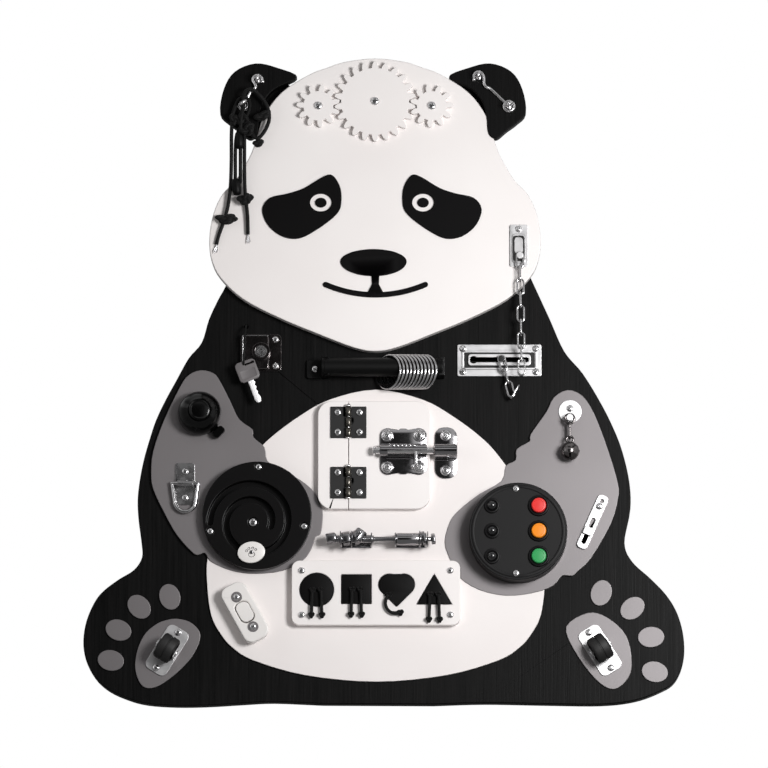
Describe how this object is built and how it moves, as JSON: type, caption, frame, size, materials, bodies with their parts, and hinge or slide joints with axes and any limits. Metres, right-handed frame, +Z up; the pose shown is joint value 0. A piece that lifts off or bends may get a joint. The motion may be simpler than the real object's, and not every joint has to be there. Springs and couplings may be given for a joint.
{
  "type": "wooden busy board",
  "caption": "Wall-hung wooden busy board shaped as a sitting panda, with meshing gears, a bolted door, a shape puzzle, a spiral maze, latches, bells, a chain, a lock, switches and casters",
  "frame": {"origin": "midway between the two hanging holes, on the flat back of the body board", "axes": "+Z up, the front faces -Y, +X to the right of someone facing the board"},
  "size_m": [0.5987, 0.0512, 0.6556],
  "materials": {
    "body_board": "black stained plywood",
    "head_board": "white painted plywood",
    "ear_boards": "black stained plywood",
    "face_patches": "black painted plywood",
    "belly_panel": "white painted plywood",
    "limb_panels": "dark grey painted plywood",
    "board_screws": "bright zinc-plated steel",
    "ear_cord": "black braided lace",
    "chain_plates": "bright zinc-plated steel",
    "ring_bar": "black moulded plastic",
    "lock_case": "chrome plated",
    "bell_base": "bright zinc-plated steel",
    "bell_dome": "black enamelled steel",
    "ring_plate": "bright zinc-plated steel",
    "maze_disc": "black painted plywood",
    "button_housing": "black moulded plastic",
    "indicator_domes": "smoked lens",
    "light_board": "green circuit board",
    "jingle_hanger": "chrome plated",
    "slide_strip": "bright zinc-plated steel",
    "switch_body": "white moulded plastic",
    "door_jamb": "white painted plywood",
    "hinge_jamb_leaves": "black painted steel",
    "bolt_keeper": "bright zinc-plated steel",
    "threaded_rod": "bright zinc-plated steel",
    "shape_board": "white painted plywood",
    "caster_forks": "bright zinc-plated steel",
    "drive_gear": "white painted plywood",
    "left_gear": "white painted plywood",
    "right_gear": "white painted plywood",
    "cabin_hook_right": "bright zinc-plated steel",
    "cabin_hook_left": "bright zinc-plated steel",
    "chain_slider": "bright zinc-plated steel",
    "chain_upper": "chrome plated",
    "chain_lower": "chrome plated",
    "bar_rings": "chrome plated",
    "lock_plug": "chrome plated",
    "key": "grey bow with a steel blade",
    "key_cord": "black braided cord",
    "bell_lever": "black moulded plastic",
    "d_ring": "chrome plated",
    "maze_hub": "bright zinc-plated steel",
    "maze_slider": "white moulded plastic",
    "button_red": "red",
    "button_orange": "orange",
    "button_green": "green",
    "jingle_bell": "chrome plated",
    "strip_slider": "bright zinc-plated steel",
    "switch_rocker": "white moulded plastic",
    "door_leaf": "white painted plywood",
    "hinge_door_leaves": "black painted steel",
    "bolt_plate": "bright zinc-plated steel",
    "bolt_rod": "bright zinc-plated steel",
    "wing_nut": "bright zinc-plated steel",
    "circle_peg": "black painted plywood",
    "square_peg": "black painted plywood",
    "heart_peg": "black painted plywood",
    "triangle_peg": "black painted plywood",
    "caster_wheel_right": "black",
    "caster_wheel_left": "black"
  },
  "bodies": {
    "board": {"body_board": "body_board", "head_board": "head_board", "ear_boards": "ear_boards", "face_patches": "face_patches", "belly_panel": "belly_panel", "limb_panels": "limb_panels", "board_screws": "board_screws", "ear_cord": "ear_cord", "chain_plates": "chain_plates", "ring_bar": "ring_bar", "lock_case": "lock_case", "bell_base": "bell_base", "bell_dome": "bell_dome", "ring_plate": "ring_plate", "maze_disc": "maze_disc", "button_housing": "button_housing", "indicator_domes": "indicator_domes", "light_board": "light_board", "jingle_hanger": "jingle_hanger", "slide_strip": "slide_strip", "switch_body": "switch_body", "door_jamb": "door_jamb", "hinge_jamb_leaves": "hinge_jamb_leaves", "bolt_keeper": "bolt_keeper", "threaded_rod": "threaded_rod", "shape_board": "shape_board", "caster_forks": "caster_forks"},
    "drive_gear": {"drive_gear": "drive_gear"},
    "left_gear": {"left_gear": "left_gear"},
    "right_gear": {"right_gear": "right_gear"},
    "cabin_hook_right": {"cabin_hook_right": "cabin_hook_right"},
    "cabin_hook_left": {"cabin_hook_left": "cabin_hook_left"},
    "chain_slider": {"chain_slider": "chain_slider"},
    "chain_upper": {"chain_upper": "chain_upper"},
    "chain_lower": {"chain_lower": "chain_lower"},
    "bar_rings": {"bar_rings": "bar_rings"},
    "lock_plug": {"lock_plug": "lock_plug"},
    "key": {"key": "key", "key_cord": "key_cord"},
    "bell_lever": {"bell_lever": "bell_lever"},
    "d_ring": {"d_ring": "d_ring"},
    "maze_hub": {"maze_hub": "maze_hub"},
    "maze_slider": {"maze_slider": "maze_slider"},
    "button_red": {"button_red": "button_red"},
    "button_orange": {"button_orange": "button_orange"},
    "button_green": {"button_green": "button_green"},
    "jingle_bell": {"jingle_bell": "jingle_bell"},
    "strip_slider": {"strip_slider": "strip_slider"},
    "switch_rocker": {"switch_rocker": "switch_rocker"},
    "door": {"door_leaf": "door_leaf", "hinge_door_leaves": "hinge_door_leaves", "bolt_plate": "bolt_plate"},
    "bolt_rod": {"bolt_rod": "bolt_rod"},
    "wing_nut": {"wing_nut": "wing_nut"},
    "circle_peg": {"circle_peg": "circle_peg"},
    "square_peg": {"square_peg": "square_peg"},
    "heart_peg": {"heart_peg": "heart_peg"},
    "triangle_peg": {"triangle_peg": "triangle_peg"},
    "caster_wheel_right": {"caster_wheel_right": "caster_wheel_right"},
    "caster_wheel_left": {"caster_wheel_left": "caster_wheel_left"}
  },
  "joints": [
    {"name": "drive_gear_spin", "type": "hinge", "parent": "board", "child": "drive_gear", "pos_m": [-0.0085, -0.03, 0.1997], "axis": [0, -1, 0], "continuous": true},
    {"name": "left_gear_spin", "type": "hinge", "parent": "board", "child": "left_gear", "pos_m": [-0.06539, -0.03, 0.19512], "axis": [0, -1, 0], "continuous": true},
    {"name": "right_gear_spin", "type": "hinge", "parent": "board", "child": "right_gear", "pos_m": [0.04839, -0.03, 0.19512], "axis": [0, -1, 0], "continuous": true},
    {"name": "hook_right_swing", "type": "hinge", "parent": "board", "child": "cabin_hook_right", "pos_m": [0.126, -0.0308, 0.195], "axis": [0, 1, 0], "range_deg": [0, 70]},
    {"name": "hook_left_swing", "type": "hinge", "parent": "board", "child": "cabin_hook_left", "pos_m": [-0.1405, -0.0308, 0.1965], "axis": [0, -1, 0], "range_deg": [0, 70]},
    {"name": "chain_slider_slide", "type": "slide", "parent": "board", "child": "chain_slider", "axis": [1, 0, 0], "range_m": [-0.028, 0.024]},
    {"name": "chain_upper_swing", "type": "hinge", "parent": "board", "child": "chain_upper", "pos_m": [0.1365, -0.034, 0.042], "axis": [0, -1, 0], "range_deg": [-14, 12]},
    {"name": "chain_lower_swing", "type": "hinge", "parent": "chain_slider", "child": "chain_lower", "pos_m": [0.118, -0.025, -0.0615], "axis": [0, -1, 0], "range_deg": [-4, 4]},
    {"name": "rings_slide", "type": "slide", "parent": "board", "child": "bar_rings", "axis": [-1, 0, 0], "range_m": [0, 0.044]},
    {"name": "lock_turn", "type": "hinge", "parent": "board", "child": "lock_plug", "pos_m": [-0.1225, -0.02, -0.054], "axis": [0, -1, 0], "range_deg": [0, 90]},
    {"name": "key_swing", "type": "hinge", "parent": "board", "child": "key", "pos_m": [-0.1375, -0.029, -0.027], "axis": [0, -1, 0], "range_deg": [-15, 15]},
    {"name": "bell_lever_press", "type": "hinge", "parent": "board", "child": "bell_lever", "pos_m": [-0.1705, -0.022, -0.126], "axis": [0, -1, 0], "range_deg": [0, 22], "stiffness_Nm_per_rad": 0.05},
    {"name": "d_ring_flip", "type": "hinge", "parent": "board", "child": "d_ring", "pos_m": [-0.198, -0.0228, -0.1875], "axis": [-1, 0, 0], "range_deg": [0, 150]},
    {"name": "maze_turn", "type": "hinge", "parent": "board", "child": "maze_hub", "pos_m": [-0.13, -0.028, -0.228], "axis": [0, 1, 0], "range_deg": [-260, 279]},
    {"name": "maze_radius", "type": "slide", "parent": "maze_hub", "child": "maze_slider", "axis": [-0.0523, 0, -0.9986], "range_m": [-0.0128, 0.012]},
    {"name": "button_red_press", "type": "slide", "parent": "board", "child": "button_red", "axis": [0, 1, 0], "range_m": [0, 0.003], "stiffness_N_per_m": 400},
    {"name": "button_orange_press", "type": "slide", "parent": "board", "child": "button_orange", "axis": [0, 1, 0], "range_m": [0, 0.003], "stiffness_N_per_m": 400},
    {"name": "button_green_press", "type": "slide", "parent": "board", "child": "button_green", "axis": [0, 1, 0], "range_m": [0, 0.003], "stiffness_N_per_m": 400},
    {"name": "jingle_swing", "type": "hinge", "parent": "board", "child": "jingle_bell", "pos_m": [0.186, -0.0295, -0.122], "axis": [0, -1, 0], "range_deg": [-25, 25]},
    {"name": "strip_slide", "type": "slide", "parent": "board", "child": "strip_slider", "axis": [0.4099, 0, 0.9121], "range_m": [-0.009, 0.01]},
    {"name": "switch_rock", "type": "hinge", "parent": "board", "child": "switch_rocker", "pos_m": [-0.138, -0.029, -0.3185], "axis": [0.8746, 0, 0.4848], "range_deg": [-8, 8]},
    {"name": "door_swing", "type": "hinge", "parent": "board", "child": "door", "pos_m": [-0.035, -0.0304, -0.1555], "axis": [0, 0, -1], "range_deg": [0, 110]},
    {"name": "bolt_slide", "type": "slide", "parent": "door", "child": "bolt_rod", "axis": [1, 0, 0], "range_m": [-0.018, 0.004]},
    {"name": "wing_nut_spin", "type": "hinge", "parent": "board", "child": "wing_nut", "pos_m": [-0.025, -0.034, -0.2455], "axis": [1, 0, 0], "continuous": true},
    {"name": "circle_lift", "type": "slide", "parent": "board", "child": "circle_peg", "axis": [0, -1, 0], "range_m": [0, 0.03]},
    {"name": "square_lift", "type": "slide", "parent": "board", "child": "square_peg", "axis": [0, -1, 0], "range_m": [0, 0.03]},
    {"name": "heart_lift", "type": "slide", "parent": "board", "child": "heart_peg", "axis": [0, -1, 0], "range_m": [0, 0.03]},
    {"name": "triangle_lift", "type": "slide", "parent": "board", "child": "triangle_peg", "axis": [0, -1, 0], "range_m": [0, 0.03]},
    {"name": "caster_right_spin", "type": "hinge", "parent": "board", "child": "caster_wheel_right", "pos_m": [0.2155, -0.0326, -0.355], "axis": [0.8499, 0, 0.527], "continuous": true},
    {"name": "caster_left_spin", "type": "hinge", "parent": "board", "child": "caster_wheel_left", "pos_m": [-0.2155, -0.0326, -0.355], "axis": [-0.8499, 0, 0.527], "continuous": true}
  ],
  "couplings": [
    {"joint": "left_gear_spin", "follows": "drive_gear_spin", "ratio": -2},
    {"joint": "right_gear_spin", "follows": "drive_gear_spin", "ratio": -2},
    {"joint": "chain_upper_swing", "follows": "chain_slider_slide", "rad_per_m": 8.26},
    {"joint": "chain_lower_swing", "follows": "chain_slider_slide", "rad_per_m": -2},
    {"joint": "maze_radius", "follows": "maze_turn", "m_per_rad": -0.0025783}
  ]
}
